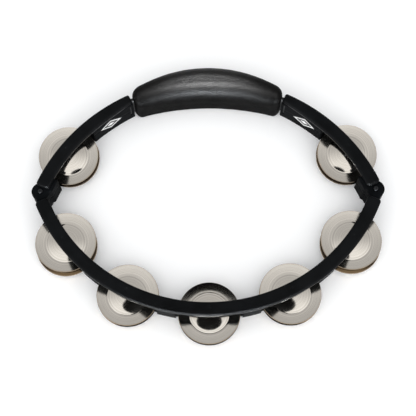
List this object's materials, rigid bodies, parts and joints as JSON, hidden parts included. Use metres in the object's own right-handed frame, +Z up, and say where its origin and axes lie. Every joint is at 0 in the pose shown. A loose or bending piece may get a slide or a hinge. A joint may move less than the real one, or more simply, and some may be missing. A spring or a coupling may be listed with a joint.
{
  "type": "headless tambourine",
  "caption": "Headless hand tambourine: lens-shaped open frame with a thick rubber grip, and pairs of domed jingles loose on upright pins in slots round the rim.",
  "frame": {"origin": "middle of the whole tambourine's outline, on the plane that it rests on", "axes": "+Z up along the jingle pins, +Y from the front arc to the hand grip, +X to the right"},
  "size_m": [0.289, 0.2364, 0.03],
  "materials": {
    "frame_plastic": "fine moulded satin",
    "core_plastic": "moulded",
    "grip_rubber": "leathery grain",
    "badge_print": "white lozenge outline on black",
    "screw_steel": "zinc plated",
    "pin_steel": "drawn wire",
    "jingle_nickel": "spun nickel plate, fine rings"
  },
  "bodies": {
    "frame": {"top_rim": "frame_plastic", "upper_walls": "frame_plastic", "lower_walls": "frame_plastic", "bottom_rail": "frame_plastic", "grip_core": "core_plastic", "hand_grip": "grip_rubber", "badge_left": "badge_print", "badge_right": "badge_print", "corner_screws": "screw_steel", "frame_screws": "screw_steel"},
    "pin_1": {"jingle_pin_1": "pin_steel"},
    "lower_disc_1": {"jingle_lower_1": "jingle_nickel"},
    "upper_disc_1": {"jingle_upper_1": "jingle_nickel"},
    "pin_2": {"jingle_pin_2": "pin_steel"},
    "lower_disc_2": {"jingle_lower_2": "jingle_nickel"},
    "upper_disc_2": {"jingle_upper_2": "jingle_nickel"},
    "pin_3": {"jingle_pin_3": "pin_steel"},
    "lower_disc_3": {"jingle_lower_3": "jingle_nickel"},
    "upper_disc_3": {"jingle_upper_3": "jingle_nickel"},
    "pin_4": {"jingle_pin_4": "pin_steel"},
    "lower_disc_4": {"jingle_lower_4": "jingle_nickel"},
    "upper_disc_4": {"jingle_upper_4": "jingle_nickel"},
    "pin_5": {"jingle_pin_5": "pin_steel"},
    "lower_disc_5": {"jingle_lower_5": "jingle_nickel"},
    "upper_disc_5": {"jingle_upper_5": "jingle_nickel"},
    "pin_6": {"jingle_pin_6": "pin_steel"},
    "lower_disc_6": {"jingle_lower_6": "jingle_nickel"},
    "upper_disc_6": {"jingle_upper_6": "jingle_nickel"},
    "pin_7": {"jingle_pin_7": "pin_steel"},
    "lower_disc_7": {"jingle_lower_7": "jingle_nickel"},
    "upper_disc_7": {"jingle_upper_7": "jingle_nickel"}
  },
  "joints": [
    {"name": "pin_1_turn", "type": "hinge", "parent": "frame", "child": "pin_1", "pos_m": [-0.117, 0.04247, 0.014], "axis": [0, 0, 1], "continuous": true},
    {"name": "lower_disc_1_slide", "type": "slide", "parent": "pin_1", "child": "lower_disc_1", "axis": [0, 0, 1], "range_m": [0, 0.003]},
    {"name": "upper_disc_1_slide", "type": "slide", "parent": "lower_disc_1", "child": "upper_disc_1", "axis": [0, 0, 1], "range_m": [0, 0.003]},
    {"name": "pin_2_turn", "type": "hinge", "parent": "frame", "child": "pin_2", "pos_m": [-0.117, -0.03487, 0.014], "axis": [0, 0, 1], "continuous": true},
    {"name": "lower_disc_2_slide", "type": "slide", "parent": "pin_2", "child": "lower_disc_2", "axis": [0, 0, 1], "range_m": [0, 0.0048]},
    {"name": "upper_disc_2_slide", "type": "slide", "parent": "lower_disc_2", "child": "upper_disc_2", "axis": [0, 0, 1], "range_m": [0, 0.0048]},
    {"name": "pin_3_turn", "type": "hinge", "parent": "frame", "child": "pin_3", "pos_m": [-0.06537, -0.07781, 0.014], "axis": [0, 0, 1], "continuous": true},
    {"name": "lower_disc_3_slide", "type": "slide", "parent": "pin_3", "child": "lower_disc_3", "axis": [0, 0, 1], "range_m": [0, 0.0048]},
    {"name": "upper_disc_3_slide", "type": "slide", "parent": "lower_disc_3", "child": "upper_disc_3", "axis": [0, 0, 1], "range_m": [0, 0.0048]},
    {"name": "pin_4_turn", "type": "hinge", "parent": "frame", "child": "pin_4", "pos_m": [0, -0.0932, 0.014], "axis": [0, 0, 1], "continuous": true},
    {"name": "lower_disc_4_slide", "type": "slide", "parent": "pin_4", "child": "lower_disc_4", "axis": [0, 0, 1], "range_m": [0, 0.0048]},
    {"name": "upper_disc_4_slide", "type": "slide", "parent": "lower_disc_4", "child": "upper_disc_4", "axis": [0, 0, 1], "range_m": [0, 0.0048]},
    {"name": "pin_5_turn", "type": "hinge", "parent": "frame", "child": "pin_5", "pos_m": [0.06537, -0.07781, 0.014], "axis": [0, 0, 1], "continuous": true},
    {"name": "lower_disc_5_slide", "type": "slide", "parent": "pin_5", "child": "lower_disc_5", "axis": [0, 0, 1], "range_m": [0, 0.0048]},
    {"name": "upper_disc_5_slide", "type": "slide", "parent": "lower_disc_5", "child": "upper_disc_5", "axis": [0, 0, 1], "range_m": [0, 0.0048]},
    {"name": "pin_6_turn", "type": "hinge", "parent": "frame", "child": "pin_6", "pos_m": [0.117, -0.03487, 0.014], "axis": [0, 0, 1], "continuous": true},
    {"name": "lower_disc_6_slide", "type": "slide", "parent": "pin_6", "child": "lower_disc_6", "axis": [0, 0, 1], "range_m": [0, 0.0048]},
    {"name": "upper_disc_6_slide", "type": "slide", "parent": "lower_disc_6", "child": "upper_disc_6", "axis": [0, 0, 1], "range_m": [0, 0.0048]},
    {"name": "pin_7_turn", "type": "hinge", "parent": "frame", "child": "pin_7", "pos_m": [0.117, 0.04247, 0.014], "axis": [0, 0, 1], "continuous": true},
    {"name": "lower_disc_7_slide", "type": "slide", "parent": "pin_7", "child": "lower_disc_7", "axis": [0, 0, 1], "range_m": [0, 0.003]},
    {"name": "upper_disc_7_slide", "type": "slide", "parent": "lower_disc_7", "child": "upper_disc_7", "axis": [0, 0, 1], "range_m": [0, 0.003]}
  ]
}
